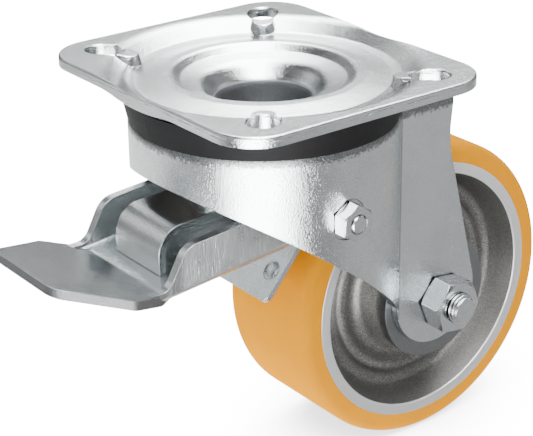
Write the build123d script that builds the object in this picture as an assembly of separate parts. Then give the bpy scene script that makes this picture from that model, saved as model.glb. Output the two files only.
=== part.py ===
from build123d import *
import math
import os

# Swivel castor: a square top plate drawn down into a ball-bearing neck, a deep-drawn fork of
# keyhole section, a cast wheel with a bonded tread on two ball bearings, and a foot brake.
# Millimetres. The origin is the centre of the plate's upper face, on the swivel axis.
# +X points to the pedal, so the wheel trails towards -X. +Y is the side of the nuts. +Z is up.

# How far a cutting tool runs past the faces that it opens
cut_over = 1.0

# ---- top plate ----
plate_width = 91.0
plate_length = 104.0
plate_sheet = 3.2
plate_corner_radius = 14.0
plate_edge_radius = 0.7
slot_spacing_x = 60.0
slot_spacing_y = 80.0
slot_width = 9.0
slot_length = 12.0
slot_turn = 45.0
slot_edge_bevel = 0.5

# The dish from the neck's bore outwards: the width of each step, and the depth of its outer crease
neck_bore_radius = 14.5
neck_start_depth = 11.0
neck_flange_width = 6.0
funnel_width = 4.5
funnel_depth = 6.3
inner_slope_width = 6.0
inner_crease_depth = 4.7
bump_rise_width = 2.8
bump_inner_depth = 2.6
bump_width = 3.2
bump_outer_depth = 2.75
dish_floor_width = 7.5
dish_floor_depth = 4.1
dish_knee_width = 2.4
dish_knee_depth = 3.75
dish_slope_width = 6.3

# Raised seats for the bolt heads, where the slots run into the slope of the dish
seat_width = 6.4
seat_inside_knee = 1.2
seat_inside_rim = 1.0
seat_inner_depth = 0.9
seat_outer_depth = 0.15
seat_draft = 15.0
seat_edge_radius = 0.5

# ---- swivel bearing ----
upper_ball_radius = 4.0
upper_row_offset = 0.7
upper_ball_count = 20
upper_groove_depth = 0.4
lower_ball_radius = 2.75
lower_row_gap = 1.55
lower_ball_count = 22
lower_groove_depth = 0.6
race_clearance = 0.15
ball_seat_gap = 0.03
lower_race_margin = 4.5
lower_race_thickness = 3.2
lower_race_drop = 1.3

# ---- fork ----
fork_sheet = 3.0
fork_top_depth = 12.8
fork_top_radius = 4.0
drum_past_knee = 0.1
drum_front_depth = 27.4
wheel_side_gap = 4.0
leg_junction_radius = 3.0
crown_hole_clearance = 1.0
crown_behind_axle = 4.5
rear_knee_behind_axle = 1.5
rear_knee_depth = 29.3
rear_knee_radius = 30.0
lower_edge_bow = 3.2
leg_end_radius = 16.2
leg_end_ahead = 2.3
leg_end_above = 2.0

# ---- seal between plate and fork ----
seal_inner_width = 3.8
seal_outer_width = 1.8
seal_skirt_depth = 15.6
seal_clearance = 0.4

# ---- wheel and axle ----
trail = 49.6
wheel_radius = 50.0
wheel_top_depth = 33.2
tread_half_width = 20.0
tread_shoulder_radius = 3.0
tread_thickness = 6.6
rim_lip = 3.5
rim_wall = 6.2
rim_foot = 9.2
web_valley_half = 7.0
web_ridge_radius = 29.6
web_ridge_half = 13.6
web_foot_radius = 22.4
web_foot_half = 8.6
hub_radius = 19.8
hub_end_gap = 0.6
hub_neck_length = 4.0
axle_radius = 5.0
axle_hole_clearance = 0.1
axle_head_flats = 16.0
axle_head_height = 6.4
axle_nut_height = 8.4
axle_nut_turn = 8.0
axle_end_stand_out = 3.3
hexagon_bevel = 30.0
hexagon_face_share = 0.97

# ---- wheel bearings and thread guards ----
bearing_radius = 17.5
bearing_width = 11.0
bearing_setback = 0.7
bearing_bore_radius = 7.5
bearing_ball_radius = 3.0
bearing_ball_count = 8
bearing_ring_wall = 2.9
bearing_play = 0.1
bearing_seal_thickness = 0.6
bearing_seal_gap = 0.2
bearing_seal_recess = 0.2
guard_radius = 20.8
guard_sheet = 0.7
guard_disc = 1.2
guard_lip = 2.2

# ---- brake ----
pivot_x = 0.75
pivot_depth = 37.0
brake_bolt_radius = 3.0
brake_running_clearance = 0.05
brake_nut_flats = 10.0
brake_nut_height = 5.0
brake_head_height = 4.0
brake_end_stand_out = 0.6
spot_face_radius = 6.3
spot_face_depth = 0.45
sleeve_radius = 5.0
sleeve_past_wing = 0.2
spacer_gap = 0.3

# The pedal is one sheet: a foot plate that folds into the floor of a channel between two wings.
# Depths are drops below the brake pivot.
pedal_sheet = 2.8
foot_slope = 0.315
foot_front = 85.5
foot_front_drop = 5.6
foot_front_half = 16.5
foot_front_corner = 6.0
foot_wide_x = 64.7
foot_wide_half = 26.4
foot_neck_x = 54.0
foot_neck_inset = 0.3
foot_rear_x = 43.5
foot_rear_inset = 6.0
foot_fold_radius = 3.0
wing_side_gap = 1.0
wing_bend_radius = 1.2
wing_front_x = 52.2
wing_front_drop = 18.6
wing_toe_length = 5.0
wing_toe_back = 0.8
wing_toe_rise = 1.2
wing_toe_radius = 5.0
wing_rear_x = 8.5
wing_rear_drop = 14.4
wing_brow_x = 44.9
wing_brow_drop = 2.5
wing_saddle_x = 24.0
wing_saddle_drop = 0.8
wing_boss_half = 8.6

strap_half = 11.4
strap_sheet = 2.3
strap_face_x = 47.0
strap_top_drop = 1.4
strap_rear_rise = 0.4
strap_bend_radius = 8.5
tongue_reach = 15.9
tongue_rise = 2.8
tongue_lip = 2.1
strap_dimple_x = 28.0
strap_dimple_y = 8.0
strap_dimple_height = 0.7
strap_dimple_radius = 5.0
dimple_root = 0.3

shoe_lead = 1.9
shoe_gap = 4.8
shoe_inset = 3.5
shoe_sheet = 1.8
shoe_ear_start = -3.0
shoe_ear_end = 4.0
shoe_tip = 32.6
shoe_corner_radius = 2.5
shoe_dimple_run = 23.0
shoe_dimple_y = 12.0
shoe_dimple_radius = 5.5
shoe_dimple_height = 0.9
shoe_dimple_blend = 1.2

# ---- values that follow ----
funnel_radius = neck_bore_radius + funnel_width
inner_crease_radius = funnel_radius + inner_slope_width
bump_inner_radius = inner_crease_radius + bump_rise_width
bump_outer_radius = bump_inner_radius + bump_width
dish_floor_radius = bump_outer_radius + dish_floor_width
dish_knee_radius = dish_floor_radius + dish_knee_width
dish_rim_radius = dish_knee_radius + dish_slope_width
neck_outer_radius = neck_bore_radius + plate_sheet
upper_row_radius = bump_inner_radius + upper_row_offset
lower_row_radius = neck_outer_radius + lower_row_gap + lower_ball_radius
lower_race_radius = lower_row_radius + lower_race_margin
drum_radius = dish_knee_radius + drum_past_knee
drum_inner_radius = drum_radius - fork_sheet
leg_inner_half = tread_half_width + wheel_side_gap
leg_half_width = leg_inner_half + fork_sheet
hub_half_length = leg_inner_half - guard_disc - hub_end_gap
wing_half = leg_inner_half - wing_side_gap
axle_depth = wheel_top_depth + wheel_radius
axle_x = -trail
axle_z = -axle_depth
pivot_z = -pivot_depth
fork_top_z = -fork_top_depth
crown_under_z = fork_top_z - fork_sheet
plate_race_z = -bump_inner_depth - plate_sheet
upper_ball_z = plate_race_z + upper_groove_depth - upper_ball_radius - race_clearance
lower_ball_z = crown_under_z + lower_groove_depth - lower_ball_radius - ball_seat_gap
lower_race_top = lower_ball_z - lower_race_drop
lower_race_bottom = lower_race_top - lower_race_thickness
neck_bottom = lower_race_bottom - plate_sheet
crown_hole_radius = neck_outer_radius + crown_hole_clearance
sleeve_end = wing_half + sleeve_past_wing
shoe_pitch = math.degrees(math.atan2(pivot_x - axle_x, pivot_z - axle_z)) + shoe_lead
shoe_reach = math.dist((pivot_x, pivot_z), (axle_x, axle_z)) * math.cos(math.radians(shoe_lead))
shoe_standoff = shoe_reach - wheel_radius - shoe_gap - shoe_sheet
floor_slope = (wing_rear_drop - wing_front_drop) / (wing_front_x - wing_rear_x)

# The dish's upper line from the plate's edge inwards, down the neck and out under the lower race
dish_line = [
    (max(plate_width, plate_length), 0),
    (dish_rim_radius, 0),
    (dish_knee_radius, -dish_knee_depth),
    (dish_floor_radius, -dish_floor_depth),
    (bump_outer_radius, -bump_outer_depth),
    (bump_inner_radius, -bump_inner_depth),
    (inner_crease_radius, -inner_crease_depth),
    (funnel_radius, -funnel_depth),
    (neck_bore_radius, -neck_start_depth),
    (neck_bore_radius, neck_bottom),
    (neck_bore_radius + neck_flange_width, neck_bottom),
]
dish_bends = [8.0, 3.0, 0.8, 4.0, 2.6, 1.2, 6.0, 4.0, 3.8]


def unit(start, end):
    """Direction from one point of a section to the next."""
    run = math.dist(start, end)
    return (end[0] - start[0]) / run, (end[1] - start[1]) / run


def beside(points, thickness):
    """Corners of the line that runs beside a line of points, on its left."""
    ways = [unit(a, b) for a, b in zip(points, points[1:])]
    ways = [ways[0]] + ways + [ways[-1]]
    corners = []
    for point, before, after in zip(points, ways, ways[1:]):
        share = thickness / (1 + before[0] * after[0] + before[1] * after[1])
        left = -share * (before[1] + after[1]), share * (before[0] + after[0])
        corners.append((point[0] + left[0], point[1] + left[1]))
    return corners


def sheet_section(points, bends, thickness, least_bend=0.4):
    """Section of bent sheet: a line with rounded bends, and its parallel on the left."""
    far_bends = []
    for before, corner, after, bend in zip(points, points[1:], points[2:], bends):
        a = unit(before, corner)
        b = unit(corner, after)
        turn = a[0] * b[1] - a[1] * b[0]
        far_bends.append(max(bend - math.copysign(thickness, turn), least_bend))
    near = FilletPolyline(*points, radius=bends)
    far_points = beside(points, thickness)
    far = FilletPolyline(*far_points, radius=far_bends)
    ends = [Line(points[0], far_points[0]), Line(points[-1], far_points[-1])]
    return Plane.XZ * make_face([near, far] + ends)


def plate_underside(radius):
    """Height of the dish's lower face, between the corners of its section."""
    corners = beside(dish_line, plate_sheet)
    for outer, inner in zip(corners, corners[1:]):
        if inner[0] <= radius <= outer[0]:
            share = (radius - inner[0]) / (outer[0] - inner[0])
            return inner[1] + share * (outer[1] - inner[1])


def rod(radius, y_from, y_to, x, z):
    """Round bar along Y."""
    middle = Pos(x, (y_from + y_to) / 2, z)
    return middle * Rot(90, 0, 0) * Cylinder(radius, y_to - y_from)


def tube(outer, inner, y_from, y_to, x, z):
    """Round tube along Y."""
    return rod(outer, y_from, y_to, x, z) - rod(inner, y_from - cut_over, y_to + cut_over, x, z)


def side_shape(points, radii, half_width):
    """Prism across Y with a rounded outline in the XZ plane."""
    outline = make_face(FilletPolyline(*points, radius=radii, close=True))
    return extrude(Plane.XZ * outline, half_width, both=True)


def round_section(row_radius, z, radius):
    """Section of a ball groove about the swivel axis."""
    return Plane.XZ * Pos(row_radius, z) * Circle(radius)


def groove(row_radius, z, radius):
    """Ring of round section about the swivel axis."""
    return revolve(round_section(row_radius, z, radius), Axis.Z)


def ball_row(count, row_radius, ball_radius, place):
    """Balls spaced evenly round the Z axis of a place."""
    balls = []
    for k in range(count):
        turn = Rot(0, 0, 360 * k / count)
        balls.append(place * turn * Pos(row_radius, 0, 0) * Sphere(ball_radius))
    return Compound(balls)


def dimple(radius, height):
    """Round cap that stands out of a sheet along +Z, with a short root inside it."""
    ball = Pos(0, 0, height - radius) * Sphere(radius)
    return ball & Pos(0, 0, radius - dimple_root) * Box(2 * radius, 2 * radius, 2 * radius)


def hexagon(flats, height, turn):
    """Hexagon block along +Y from the XZ plane, with its corners turned off at both ends."""
    block = extrude(RegularPolygon(flats / 2, 6, major_radius=False), height)
    corner = flats / math.sqrt(3)
    edge = flats / 2 * hexagon_face_share
    drop = (corner - edge) * math.tan(math.radians(hexagon_bevel))
    cone_line = [(0, 0), (edge, 0), (corner, drop), (corner, height - drop), (edge, height), (0, height)]
    cone = revolve(Plane.XZ * make_face(Polyline(*cone_line, close=True)), Axis.Z)
    return Rot(-90, 0, 0) * Rot(0, 0, -turn) * (block & cone)


# ---------------------------------------------------------------- top plate and its races


def slots():
    """Four fixing slots on the diagonals, wider at the upper edge."""
    cut = []
    for side_x in (-1, 1):
        for side_y in (-1, 1):
            turn = slot_turn * side_x * side_y
            place = Pos(side_x * slot_spacing_x / 2, side_y * slot_spacing_y / 2, 0) * Rot(0, 0, turn)
            outline = SlotOverall(slot_length, slot_width)
            cut.append(place * extrude(outline, 3 * plate_sheet, both=True))
            cut.append(place * Pos(0, 0, -slot_edge_bevel) * extrude(outline, 2 * slot_edge_bevel, taper=-45))
    return cut


def bolt_seats():
    """Seats with a round, drafted nose that stand out of the dish's slope beside each slot."""
    inner = dish_knee_radius - seat_inside_knee
    outer = dish_rim_radius - seat_inside_rim
    foot = dish_floor_depth + plate_sheet / 4
    spread = foot * math.tan(math.radians(seat_draft))
    end = inner - spread - cut_over
    end_depth = seat_outer_depth + (seat_inner_depth - seat_outer_depth) * (outer - end) / (outer - inner)
    line = [
        (outer, -seat_outer_depth),
        (end, -end_depth),
        (end, -foot),
        (inner, -foot),
        (outer, -plate_sheet),
    ]
    block = extrude(Plane.XZ * make_face(Polyline(*line, close=True)), seat_width, both=True)
    # The nose is half of a slot outline, which runs out past the block's outer end
    length = 2 * (outer - inner)
    outline = SlotOverall(length + 2 * spread, seat_width + 2 * spread)
    nose = Pos(inner + length / 2, 0, -foot) * extrude(outline, foot, taper=seat_draft)
    seat = block & nose
    seat = fillet(seat.faces().sort_by(Axis.Z)[-1].edges(), seat_edge_radius)
    diagonal = math.degrees(math.atan2(slot_spacing_y, slot_spacing_x))
    return [Rot(0, 0, turn) * seat for turn in (diagonal, 180 - diagonal, 180 + diagonal, -diagonal)]


def top_plate():
    """Plate, dish, neck and neck flange in one pressing."""
    section = sheet_section(dish_line, dish_bends, plate_sheet)
    section -= round_section(upper_row_radius, upper_ball_z, upper_ball_radius + race_clearance)
    block = extrude(RectangleRounded(plate_width, plate_length, plate_corner_radius), 2 * neck_bottom)
    block = fillet(block.faces().sort_by(Axis.Z)[-1].edges(), plate_edge_radius)
    plate = revolve(section, Axis.Z) & block
    for seat in bolt_seats():
        plate += seat
    for slot in slots():
        plate -= slot
    return plate


def lower_race():
    """Race ring held by the neck's flange, with a groove for the lower balls."""
    outline = [
        (lower_race_radius, lower_race_top),
        (neck_outer_radius, lower_race_top),
        (neck_outer_radius, lower_race_bottom),
        (lower_race_radius, lower_race_bottom),
    ]
    section = Plane.XZ * make_face(FilletPolyline(*outline, radius=[0.4, 0.4, 1.0, 0.4], close=True))
    section -= round_section(lower_row_radius, lower_ball_z, lower_ball_radius + race_clearance)
    return revolve(section, Axis.Z)


# ---------------------------------------------------------------- fork


def keyhole(drum, leg_half, junction, back, bottom, top, top_radius):
    """Drum and leg channel in one, with rounded junctions and a rounded crown."""
    channel = Pos(-back / 2, 0) * Rectangle(back, 2 * leg_half)
    outline = Circle(drum) + channel
    meeting = math.sqrt(drum**2 - leg_half**2)
    corners = [v for v in outline.vertices() if abs(v.X + meeting) < 0.01]
    outline = fillet(corners, junction)
    solid = Pos(0, 0, bottom) * extrude(outline, top - bottom)
    return fillet(solid.faces().sort_by(Axis.Z)[-1].edges(), top_radius)


def fork_outer():
    """Outside of the drawn fork, before its edges are cut."""
    bottom = -2 * axle_depth
    return keyhole(
        drum_radius, leg_half_width, leg_junction_radius, 2 * drum_radius, bottom, fork_top_z, fork_top_radius
    )


def fork_side():
    """Side view of the fork: a bowed lower edge, round leg ends and leaning rear edges."""
    end_x = axle_x + leg_end_ahead
    end_z = axle_z + leg_end_above
    front = (drum_radius + cut_over, -drum_front_depth)
    leg_front = (end_x + leg_end_radius, end_z)
    leg_bottom = (end_x, end_z - leg_end_radius)
    rear_knee = (axle_x - rear_knee_behind_axle, -rear_knee_depth)
    rear_top = (axle_x - crown_behind_axle, 0)
    # The rear edge runs from the knee to touch the round leg end
    to_knee = math.atan2(rear_knee[1] - end_z, rear_knee[0] - end_x)
    touch = to_knee + math.acos(leg_end_radius / math.dist(rear_knee, (end_x, end_z)))
    rear_low = (end_x + leg_end_radius * math.cos(touch), end_z + leg_end_radius * math.sin(touch))
    run = math.dist(front, leg_front)
    up = ((front[1] - leg_front[1]) / run, (leg_front[0] - front[0]) / run)
    bow_x = (front[0] + leg_front[0]) / 2 - up[0] * lower_edge_bow
    bow_z = (front[1] + leg_front[1]) / 2 - up[1] * lower_edge_bow
    outline = [
        ThreePointArc(front, (bow_x, bow_z), leg_front),
        RadiusArc(leg_front, leg_bottom, leg_end_radius),
        RadiusArc(leg_bottom, rear_low, leg_end_radius),
        FilletPolyline(rear_low, rear_knee, rear_top, (front[0], 0), front, radius=[rear_knee_radius, 0, 0]),
    ]
    return extrude(Plane.XZ * make_face(outline), 2 * drum_radius, both=True)


def fork():
    """Deep-drawn fork with its ball grooves, holes and flats for the brake bolt."""
    inner = keyhole(
        drum_inner_radius,
        leg_inner_half,
        leg_junction_radius + fork_sheet,
        3 * drum_radius,
        -3 * axle_depth,
        crown_under_z,
        fork_top_radius - fork_sheet,
    )
    shell = (fork_outer() - inner) & fork_side()
    shell -= Pos(0, 0, fork_top_z) * Cylinder(crown_hole_radius, 4 * fork_sheet)
    shell -= groove(upper_row_radius, upper_ball_z, upper_ball_radius + ball_seat_gap)
    shell -= groove(lower_row_radius, lower_ball_z, lower_ball_radius + ball_seat_gap)
    reach = 2 * leg_half_width
    shell -= rod(axle_radius + axle_hole_clearance, -reach, reach, axle_x, axle_z)
    reach = 2 * drum_radius
    shell -= rod(brake_bolt_radius + axle_hole_clearance, -reach, reach, pivot_x, pivot_z)
    seat = drum_radius - spot_face_depth
    for side in (-1, 1):
        ends = sorted((side * seat, side * (drum_radius + cut_over)))
        shell -= rod(spot_face_radius, *ends, pivot_x, pivot_z)
    return shell


def seal_ring():
    """Rubber ring that sits on the fork's shoulder and closes the gap to the plate."""
    inner = drum_radius - seal_inner_width
    outer = drum_radius + seal_outer_width
    section = [
        (inner, -seal_skirt_depth),
        (drum_radius - drum_past_knee, -seal_skirt_depth),
        (outer, plate_underside(outer) - seal_clearance),
        (dish_knee_radius, plate_underside(dish_knee_radius) - seal_clearance),
        (inner, plate_underside(inner) - seal_clearance),
    ]
    ring = revolve(Plane.XZ * make_face(Polyline(*section, close=True)), Axis.Z)
    return ring - fork_outer()


# ---------------------------------------------------------------- wheel


def about_axle(points, radii):
    """Solid of revolution about the axle, from radius and distance along Y."""
    section = make_face(FilletPolyline(*points, radius=radii, close=True))
    return Pos(axle_x, 0, axle_z) * revolve(section, Axis.Y)


def wheel_core():
    """Cast wheel centre: rim, ridged web and hub with two bearing seats."""
    rim_radius = wheel_radius - tread_thickness
    bearing_end = hub_half_length - bearing_setback - bearing_width
    half = [
        (rim_radius, tread_half_width, 0.0),
        (rim_radius - rim_lip, tread_half_width, 0.5),
        (rim_radius - rim_wall, web_ridge_half, 4.0),
        (rim_radius - rim_foot, web_valley_half, 3.0),
        (web_ridge_radius, web_ridge_half, 2.4),
        (web_foot_radius, web_foot_half, 3.0),
        (hub_radius, hub_half_length - hub_neck_length, 1.5),
        (hub_radius, hub_half_length, 0.6),
        (bearing_radius, hub_half_length, 0.3),
        (bearing_radius, bearing_end, 0.0),
        (bearing_radius - bearing_ring_wall, bearing_end, 0.0),
    ]
    outline = half + [(radius, -y, bend) for radius, y, bend in reversed(half)]
    return about_axle([(radius, y) for radius, y, bend in outline], [bend for radius, y, bend in outline])


def tread():
    """Tread bonded round the core, with rounded shoulders."""
    inner = wheel_radius - tread_thickness
    outline = [
        (inner, tread_half_width),
        (wheel_radius, tread_half_width),
        (wheel_radius, -tread_half_width),
        (inner, -tread_half_width),
    ]
    return about_axle(outline, [0.0, tread_shoulder_radius, tread_shoulder_radius, 0.0])


def bearing_middle(side):
    """Distance along Y from the wheel's middle to a bearing's middle."""
    return side * (hub_half_length - bearing_setback - bearing_width / 2)


def bearing_ring(side, outer, inner, gap):
    """One ring of a wheel bearing, with its ball groove."""
    middle = bearing_middle(side)
    half = bearing_width / 2
    ring = tube(outer, inner, middle - half, middle + half, axle_x, axle_z)
    row_radius = (bearing_radius + bearing_bore_radius) / 2
    track = Pos(axle_x, middle, axle_z) * Rot(90, 0, 0) * Torus(row_radius, bearing_ball_radius + gap)
    return ring - track


def bearing_outer(side):
    return bearing_ring(side, bearing_radius, bearing_radius - bearing_ring_wall, ball_seat_gap)


def bearing_inner(side):
    return bearing_ring(side, bearing_bore_radius + bearing_ring_wall, bearing_bore_radius, bearing_play)


def bearing_balls(side):
    row_radius = (bearing_radius + bearing_bore_radius) / 2
    place = Pos(axle_x, bearing_middle(side), axle_z) * Rot(90, 0, 0)
    return ball_row(bearing_ball_count, row_radius, bearing_ball_radius, place)


def bearing_seal(side):
    """Thin disc that closes the bearing on its outer side."""
    outer = bearing_radius - bearing_ring_wall
    inner = bearing_bore_radius + bearing_ring_wall + bearing_seal_gap
    face = bearing_middle(side) + side * (bearing_width / 2 - bearing_seal_recess)
    ends = sorted((face, face - side * bearing_seal_thickness))
    return tube(outer, inner, *ends, axle_x, axle_z)


def thread_guard(side):
    """Shallow cup between the hub and the fork leg that keeps thread out of the bearing."""
    face = side * leg_inner_half
    disc_ends = sorted((face, face - side * guard_disc))
    lip_ends = sorted((face, face - side * (guard_disc + guard_lip)))
    cup = tube(guard_radius, axle_radius, *disc_ends, axle_x, axle_z)
    return cup + tube(guard_radius, guard_radius - guard_sheet, *lip_ends, axle_x, axle_z)


def axle_sleeve():
    """Spacer tube that carries both bearings and takes the axle's clamping force."""
    end = leg_inner_half - guard_disc
    return tube(bearing_bore_radius, axle_radius, -end, end, axle_x, axle_z)


def bolt(radius, seat, end, flats, head_height, x, z):
    """Hexagon bolt along Y, with its head on the -Y side."""
    shank = rod(radius, -seat, end, x, z)
    shank = chamfer(shank.faces().sort_by(Axis.Y)[-1].edges(), radius / 6)
    head = Pos(x, -seat - head_height, z) * hexagon(flats, head_height, 0)
    return shank + head


def nut(radius, seat, flats, height, turn, x, z):
    """Hexagon nut along Y, on the +Y side."""
    block = Pos(x, seat, z) * hexagon(flats, height, turn)
    return block - rod(radius, seat - cut_over, seat + height + cut_over, x, z)


def axle_bolt():
    end = leg_half_width + axle_nut_height + axle_end_stand_out
    return bolt(axle_radius, leg_half_width, end, axle_head_flats, axle_head_height, axle_x, axle_z)


def axle_nut():
    return nut(axle_radius, leg_half_width, axle_head_flats, axle_nut_height, axle_nut_turn, axle_x, axle_z)


# ---------------------------------------------------------------- brake


def brake_bolt():
    seat = drum_radius - spot_face_depth
    end = seat + brake_nut_height + brake_end_stand_out
    return bolt(brake_bolt_radius, seat, end, brake_nut_flats, brake_head_height, pivot_x, pivot_z)


def brake_nut():
    seat = drum_radius - spot_face_depth
    return nut(brake_bolt_radius, seat, brake_nut_flats, brake_nut_height, 30, pivot_x, pivot_z)


def brake_spacer(side):
    """Tube that keeps the pedal in the middle of the drum."""
    corner = abs(pivot_x) + sleeve_radius
    wall = math.sqrt(drum_inner_radius**2 - corner**2)
    ends = sorted((side * (sleeve_end + spacer_gap), side * wall))
    return tube(sleeve_radius, brake_bolt_radius, *ends, pivot_x, pivot_z)


def pivot_sleeve():
    bore = brake_bolt_radius + brake_running_clearance
    return tube(sleeve_radius, bore, -sleeve_end, sleeve_end, pivot_x, pivot_z)


def toward_wheel():
    """Direction square to the shoe, from the brake pivot towards the wheel."""
    pitch = math.radians(shoe_pitch)
    return -math.sin(pitch), -math.cos(pitch)


def shoe_point(distance, run):
    """Point at a distance from the pivot towards the wheel, and a run down along the shoe."""
    way = toward_wheel()
    return (
        pivot_x + way[0] * distance - way[1] * run,
        pivot_z + way[1] * distance + way[0] * run,
    )


def foot_height(x):
    """Height of the foot plate's upper face."""
    return pivot_z - foot_front_drop - foot_slope * (foot_front - x)


def floor_height(x):
    """Height of the channel floor's upper face, between the wings."""
    rise = pedal_sheet * math.sqrt(1 + floor_slope**2)
    return pivot_z - wing_rear_drop + floor_slope * (x - wing_rear_x) + rise


def foot_plate():
    """Foot plate, widest in front of the wings, and the fold down to the channel's floor."""
    half = [
        (foot_front, foot_front_half, foot_front_corner),
        (foot_wide_x, foot_wide_half, 3.0),
        (foot_neck_x, wing_half - foot_neck_inset, 4.0),
        (foot_rear_x, wing_half - foot_rear_inset, 1.0),
    ]
    outline = half + [(x, -y, bend) for x, y, bend in reversed(half)]
    points = [(x, y) for x, y, bend in outline]
    bends = [bend for x, y, bend in outline]
    column = extrude(make_face(FilletPolyline(*points, radius=bends, close=True)), 2 * axle_depth, both=True)
    step = floor_height(wing_front_x) - foot_height(wing_front_x)
    fold_x = wing_front_x + step / (foot_slope - floor_slope)
    upper_line = [
        (foot_front + cut_over, foot_height(foot_front + cut_over)),
        (fold_x, foot_height(fold_x)),
        (foot_rear_x - cut_over, floor_height(foot_rear_x - cut_over)),
    ]
    section = sheet_section(upper_line, [foot_fold_radius], pedal_sheet)
    return column & extrude(section, 2 * foot_wide_half, both=True)


def channel_block(outline, bends, half_width, bottom_radius):
    """Block between the wings' faces, with its two long lower edges rounded."""
    block = side_shape(outline, bends, half_width)
    floor_way = Axis((0, 0, 0), (1, 0, floor_slope))
    return fillet(block.edges().filter_by(floor_way).sort_by(Axis.Z)[:2], bottom_radius)


def pedal_wings():
    """Channel with an upright wing on each side, bent up from its floor."""
    low_front = (wing_front_x, pivot_z - wing_front_drop)
    low_rear = (wing_rear_x, pivot_z - wing_rear_drop)
    toe_x = wing_front_x + wing_toe_length
    outline = [
        (low_front, 0.0),
        ((toe_x, foot_height(toe_x) - pedal_sheet / 2), 0.0),
        ((toe_x, foot_height(toe_x)), 0.0),
        ((wing_front_x - wing_toe_back, floor_height(wing_front_x) + wing_toe_rise), wing_toe_radius),
        ((wing_brow_x, pivot_z - wing_brow_drop), 7.0),
        ((wing_saddle_x, pivot_z - wing_saddle_drop), 25.0),
        ((pivot_x + sleeve_radius, pivot_z + wing_boss_half), 6.0),
        ((pivot_x - wing_boss_half, pivot_z + wing_boss_half), 8.0),
        (shoe_point(shoe_standoff, shoe_ear_start), 0.0),
        (shoe_point(shoe_standoff, shoe_ear_end), 0.0),
        (low_rear, 1.5),
    ]
    outer = channel_block(
        [point for point, bend in outline],
        [bend for point, bend in outline],
        wing_half,
        wing_bend_radius + pedal_sheet,
    )
    # The space between the wings, over the floor
    rear_x = wing_rear_x - trail
    front_x = wing_front_x + trail
    space = [
        (rear_x, floor_height(rear_x)),
        (front_x, floor_height(front_x)),
        (front_x, 0),
        (rear_x, 0),
    ]
    return outer - channel_block(space, [0, 0, 0, 0], wing_half - pedal_sheet, wing_bend_radius)


def pedal():
    """Foot plate and wings, pressed from one sheet, with the pivot hole."""
    body = foot_plate() + pedal_wings()
    return body - rod(sleeve_radius, -2 * wing_half, 2 * wing_half, pivot_x, pivot_z)


def release_strap():
    """Bent strap from the foot plate over to the pivot, with an eye and a lock tongue."""
    foot = (strap_face_x, floor_height(strap_face_x) - pedal_sheet / 2)
    brow = (strap_face_x, pivot_z - strap_top_drop)
    eye_radius = sleeve_radius + strap_sheet
    front_end = (pivot_x + sleeve_radius + strap_sheet / 2, pivot_z + strap_rear_rise)
    line = [foot, brow, front_end]
    body = extrude(sheet_section(line, [strap_bend_radius], strap_sheet), strap_half, both=True)
    tongue_z = pivot_z + tongue_rise
    tongue_line = [
        (pivot_x - sleeve_radius, tongue_z),
        (-tongue_reach, tongue_z),
        (-tongue_reach, tongue_z + tongue_lip),
    ]
    body += extrude(sheet_section(tongue_line, [0.8], strap_sheet), strap_half, both=True)
    body += rod(eye_radius, -strap_half, strap_half, pivot_x, pivot_z)
    share = (brow[0] - strap_dimple_x) / (brow[0] - front_end[0])
    surface = brow[1] + share * (front_end[1] - brow[1])
    body += Pos(strap_dimple_x, strap_dimple_y, surface) * dimple(strap_dimple_radius, strap_dimple_height)
    body -= rod(sleeve_radius, -2 * strap_half, 2 * strap_half, pivot_x, pivot_z)
    return body - foot_plate()


def brake_shoe():
    """Flat shoe that swings against the tread, held by ears on the wings' rear edges."""
    shoe_half = tread_half_width - shoe_inset
    half = [
        (shoe_ear_start, wing_half, 1.5),
        (shoe_ear_end, wing_half, 1.5),
        (shoe_ear_end + 3, shoe_half, 1.5),
        (shoe_tip, shoe_half, shoe_corner_radius),
    ]
    outline = half + [(run, -y, bend) for run, y, bend in reversed(half)]
    points = [(run, y) for run, y, bend in outline]
    bends = [bend for run, y, bend in outline]
    way = toward_wheel()
    origin = shoe_point(shoe_standoff, 0)
    down = Vector(-way[1], 0, way[0])
    face = Plane(origin=(origin[0], 0, origin[1]), x_dir=down, z_dir=(way[0], 0, way[1]))
    across = face.y_dir.Y
    plate = extrude(face * make_face(FilletPolyline(*points, radius=bends, close=True)), shoe_sheet)
    for side in (-1, 1):
        place = Pos(shoe_dimple_run, side * across * shoe_dimple_y) * Rot(180, 0, 0)
        plate += face * place * dimple(shoe_dimple_radius, shoe_dimple_height)
    bases = plate.edges().filter_by(GeomType.CIRCLE)
    base_radius = math.sqrt(shoe_dimple_radius**2 - (shoe_dimple_radius - shoe_dimple_height) ** 2)
    bases = [edge for edge in bases if abs(edge.radius - base_radius) < 0.01]
    return fillet(bases, shoe_dimple_blend)


# ---------------------------------------------------------------- all nodes


def pairs(name, make):
    """The same piece on both sides: the nut side and the head side."""
    return {f"{name}_nut_side": make(1), f"{name}_head_side": make(-1)}


nodes = {
    "top_plate": top_plate(),
    "lower_race": lower_race(),
    "upper_balls": ball_row(upper_ball_count, upper_row_radius, upper_ball_radius, Pos(0, 0, upper_ball_z)),
    "lower_balls": ball_row(lower_ball_count, lower_row_radius, lower_ball_radius, Pos(0, 0, lower_ball_z)),
    "fork": fork(),
    "seal_ring": seal_ring(),
    "wheel_core": wheel_core(),
    "tread": tread(),
    "axle_bolt": axle_bolt(),
    "axle_nut": axle_nut(),
    "axle_sleeve": axle_sleeve(),
    "brake_bolt": brake_bolt(),
    "brake_nut": brake_nut(),
    "pivot_sleeve": pivot_sleeve(),
    "pedal": pedal(),
    "release_strap": release_strap(),
    "brake_shoe": brake_shoe(),
}
nodes.update(pairs("bearing_outer", bearing_outer))
nodes.update(pairs("bearing_inner", bearing_inner))
nodes.update(pairs("bearing_balls", bearing_balls))
nodes.update(pairs("bearing_seal", bearing_seal))
nodes.update(pairs("thread_guard", thread_guard))
nodes.update(pairs("brake_spacer", brake_spacer))

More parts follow.
